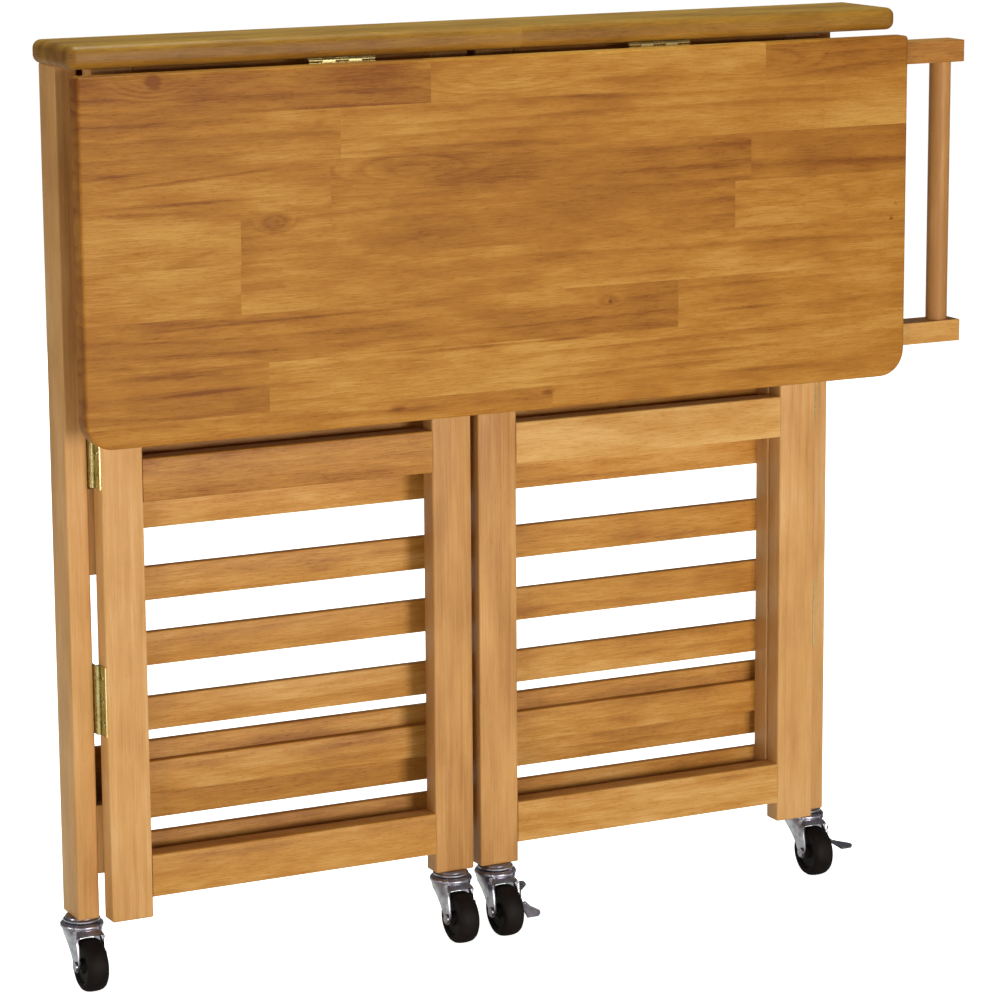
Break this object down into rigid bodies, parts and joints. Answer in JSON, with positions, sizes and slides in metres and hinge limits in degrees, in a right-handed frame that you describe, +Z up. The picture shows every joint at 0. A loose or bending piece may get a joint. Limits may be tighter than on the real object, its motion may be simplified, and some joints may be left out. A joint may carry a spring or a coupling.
{
  "type": "folding kitchen cart",
  "caption": "Fold-flat wooden kitchen cart with a hanging drop leaf, towel rail, gate-leg frames, folded slatted shelves and swivel casters, some with brake levers.",
  "frame": {"origin": "on the floor under the middle of the folded cart's outline", "axes": "+X to the right along the cart, towards the towel rail; +Y to the back; +Z up"},
  "size_m": [0.9696, 0.1225, 0.914],
  "materials": {
    "oiled_beech_top": "clear oil on glued-up hardwood",
    "oiled_beech_leaf": "clear oil on glued-up hardwood staves",
    "beech_upright": "clear oil",
    "beech_rail": "clear oil",
    "hinge_plate": "pale brass plating",
    "steel_fitting": "bright zinc plating",
    "caster_zinc": "pressed steel, zinc plated",
    "wheel_rubber": "moulded black rubber"
  },
  "bodies": {
    "frame": {"top_board": "oiled_beech_top", "left_post": "beech_upright", "right_post": "beech_upright", "top_back_rail": "beech_rail", "upper_back_rail": "beech_rail", "lower_back_rail": "beech_rail", "lower_shelf_battens": "beech_rail", "lower_shelf_slats": "beech_rail", "upper_shelf_battens": "beech_rail", "upper_shelf_slats": "beech_rail", "shelf_pivot_blocks": "beech_rail", "shelf_pivots": "steel_fitting", "leaf_hinge_fixed_plates": "hinge_plate", "leaf_hinge_pins": "steel_fitting", "gate_hinge_fixed_plates": "hinge_plate", "gate_hinge_pins": "steel_fitting", "frame_screws": "steel_fitting", "left_post_caster_mount": "caster_zinc", "right_post_caster_mount": "caster_zinc"},
    "leaf": {"drop_leaf": "oiled_beech_leaf", "leaf_hinge_moving_plates": "hinge_plate", "upper_towel_arm": "beech_upright", "lower_towel_arm": "beech_upright", "towel_dowel": "beech_upright", "leaf_screws": "steel_fitting"},
    "left_gate": {"left_gate_hinge_stile": "beech_upright", "left_gate_free_stile": "beech_upright", "left_gate_top_rail": "beech_rail", "left_gate_middle_rail": "beech_rail", "left_gate_bottom_rail": "beech_rail", "left_gate_ledges": "beech_rail", "left_gate_hinge_plates": "hinge_plate", "left_gate_screws": "steel_fitting", "left_gate_caster_mount": "caster_zinc"},
    "right_gate": {"right_gate_hinge_stile": "beech_upright", "right_gate_free_stile": "beech_upright", "right_gate_top_rail": "beech_rail", "right_gate_middle_rail": "beech_rail", "right_gate_bottom_rail": "beech_rail", "right_gate_ledges": "beech_rail", "right_gate_hinge_plates": "hinge_plate", "right_gate_screws": "steel_fitting", "right_gate_caster_mount": "caster_zinc"},
    "left_post_fork": {"left_post_caster_fork": "caster_zinc", "left_post_caster_axle": "caster_zinc"},
    "left_post_wheel": {"left_post_caster_wheel": "wheel_rubber"},
    "right_post_fork": {"right_post_caster_fork": "caster_zinc", "right_post_caster_axle": "caster_zinc"},
    "right_post_wheel": {"right_post_caster_wheel": "wheel_rubber"},
    "left_gate_fork": {"left_gate_caster_fork": "caster_zinc", "left_gate_caster_axle": "caster_zinc"},
    "left_gate_wheel": {"left_gate_caster_wheel": "wheel_rubber"},
    "right_gate_fork": {"right_gate_caster_fork": "caster_zinc", "right_gate_caster_axle": "caster_zinc"},
    "right_gate_wheel": {"right_gate_caster_wheel": "wheel_rubber"},
    "right_post_brake": {"right_post_brake_lever": "caster_zinc"},
    "right_gate_brake": {"right_gate_brake_lever": "caster_zinc"}
  },
  "joints": [
    {"name": "leaf_lift", "type": "hinge", "parent": "frame", "child": "leaf", "pos_m": [-0.03925, -0.0371, 0.8901], "axis": [-1, 0, 0], "range_deg": [0, 90]},
    {"name": "left_gate_swing", "type": "hinge", "parent": "frame", "child": "left_gate", "pos_m": [-0.44975, 0.013, 0.409], "axis": [0, 0, 1], "range_deg": [-5, 0]},
    {"name": "right_gate_swing", "type": "hinge", "parent": "frame", "child": "right_gate", "pos_m": [0.33725, 0.013, 0.409], "axis": [0, 0, 1], "range_deg": [0, 5]},
    {"name": "left_post_caster_swivel", "type": "hinge", "parent": "frame", "child": "left_post_fork", "pos_m": [-0.46325, 0.04, 0.0615], "axis": [0, 0, 1], "continuous": true},
    {"name": "left_post_wheel_roll", "type": "hinge", "parent": "left_post_fork", "child": "left_post_wheel", "pos_m": [-0.46325, 0.0185, 0.026], "axis": [1, 0, 0], "continuous": true},
    {"name": "right_post_caster_swivel", "type": "hinge", "parent": "frame", "child": "right_post_fork", "pos_m": [0.35075, 0.04, 0.0615], "axis": [0, 0, 1], "continuous": true},
    {"name": "right_post_wheel_roll", "type": "hinge", "parent": "right_post_fork", "child": "right_post_wheel", "pos_m": [0.35075, 0.0185, 0.026], "axis": [1, 0, 0], "continuous": true},
    {"name": "left_gate_caster_swivel", "type": "hinge", "parent": "left_gate", "child": "left_gate_fork", "pos_m": [-0.08125, 0.008, 0.0615], "axis": [0, 0, 1], "range_deg": [-180, 10]},
    {"name": "left_gate_wheel_roll", "type": "hinge", "parent": "left_gate_fork", "child": "left_gate_wheel", "pos_m": [-0.08125, -0.0135, 0.026], "axis": [1, 0, 0], "continuous": true},
    {"name": "right_gate_caster_swivel", "type": "hinge", "parent": "right_gate", "child": "right_gate_fork", "pos_m": [-0.03125, 0.008, 0.0615], "axis": [0, 0, 1], "range_deg": [-10, 150]},
    {"name": "right_gate_wheel_roll", "type": "hinge", "parent": "right_gate_fork", "child": "right_gate_wheel", "pos_m": [-0.03125, -0.0135, 0.026], "axis": [1, 0, 0], "continuous": true},
    {"name": "right_post_brake_flip", "type": "hinge", "parent": "right_post_fork", "child": "right_post_brake", "pos_m": [0.36675, 0.0245, 0.037], "axis": [1, 0, 0], "range_deg": [0, 90]},
    {"name": "right_gate_brake_flip", "type": "hinge", "parent": "right_gate_fork", "child": "right_gate_brake", "pos_m": [-0.01525, -0.0075, 0.037], "axis": [1, 0, 0], "range_deg": [-90, 0]}
  ]
}
